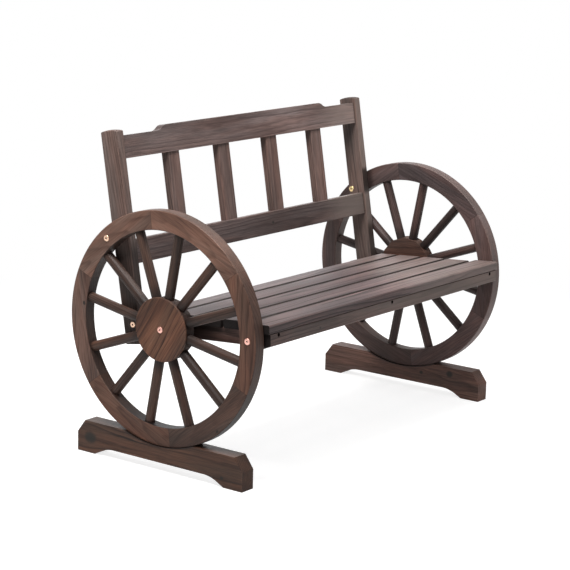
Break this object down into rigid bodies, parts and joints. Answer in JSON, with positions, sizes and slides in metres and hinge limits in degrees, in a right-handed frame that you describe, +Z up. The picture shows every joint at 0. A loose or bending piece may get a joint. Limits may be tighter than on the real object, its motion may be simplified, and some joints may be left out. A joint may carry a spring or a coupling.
{
  "type": "wagon wheel bench",
  "caption": "Slatted wooden garden bench with a leaning slatted back, carried between spoked wagon wheels that stand in saddled feet.",
  "frame": {"origin": "on the ground, under the middle of the bench's bounding box", "axes": "+X along the seat, towards the right of someone who looks at the bench's front; -Y is the front; +Z is up"},
  "size_m": [1.04, 0.5574, 0.7627],
  "materials": {
    "rim_wood": "brown stain, satin",
    "cap_wood": "brown stain, satin",
    "spoke_wood": "dark brown stain, satin",
    "frame_wood": "dark brown stain, matt",
    "dowel_wood": "bare beech",
    "copper": "copper-plated, bright",
    "brass": "brass, bright",
    "screw_steel": "black"
  },
  "bodies": {
    "root": {"left_felloe_front_top": "rim_wood", "left_felloe_back_top": "rim_wood", "left_felloe_back": "rim_wood", "left_felloe_back_bottom": "rim_wood", "left_felloe_front_bottom": "rim_wood", "left_felloe_front": "rim_wood", "right_felloe_front_top": "rim_wood", "right_felloe_back_top": "rim_wood", "right_felloe_back": "rim_wood", "right_felloe_back_bottom": "rim_wood", "right_felloe_front_bottom": "rim_wood", "right_felloe_front": "rim_wood", "left_spokes_front_top": "spoke_wood", "left_spokes_back_top": "spoke_wood", "left_spokes_back": "spoke_wood", "left_spokes_back_bottom": "spoke_wood", "left_spokes_front_bottom": "spoke_wood", "left_spokes_front": "spoke_wood", "right_spokes_front_top": "spoke_wood", "right_spokes_back_top": "spoke_wood", "right_spokes_back": "spoke_wood", "right_spokes_back_bottom": "spoke_wood", "right_spokes_front_bottom": "spoke_wood", "right_spokes_front": "spoke_wood", "left_hub": "spoke_wood", "right_hub": "spoke_wood", "left_hub_cap": "cap_wood", "right_hub_cap": "cap_wood", "felloe_dowels": "dowel_wood", "left_foot": "frame_wood", "right_foot": "frame_wood", "foot_screws": "screw_steel", "left_side_bearer": "frame_wood", "right_side_bearer": "frame_wood", "middle_bearer": "frame_wood", "left_hub_spacer": "frame_wood", "right_hub_spacer": "frame_wood", "left_front_spacer": "frame_wood", "right_front_spacer": "frame_wood", "front_apron": "frame_wood", "apron_screws": "screw_steel", "front_seat_slat": "frame_wood", "second_seat_slat": "frame_wood", "third_seat_slat": "frame_wood", "fourth_seat_slat": "frame_wood", "rear_seat_slat": "frame_wood", "seat_screws": "screw_steel", "left_post": "frame_wood", "right_post": "frame_wood", "lower_rail": "frame_wood", "top_rail": "frame_wood", "rail_dowels": "dowel_wood", "left_outer_back_slat": "frame_wood", "left_inner_back_slat": "frame_wood", "right_inner_back_slat": "frame_wood", "right_outer_back_slat": "frame_wood", "wheel_bolts": "copper", "post_bolts": "copper", "cap_nuts": "brass"}
  },
  "joints": []
}
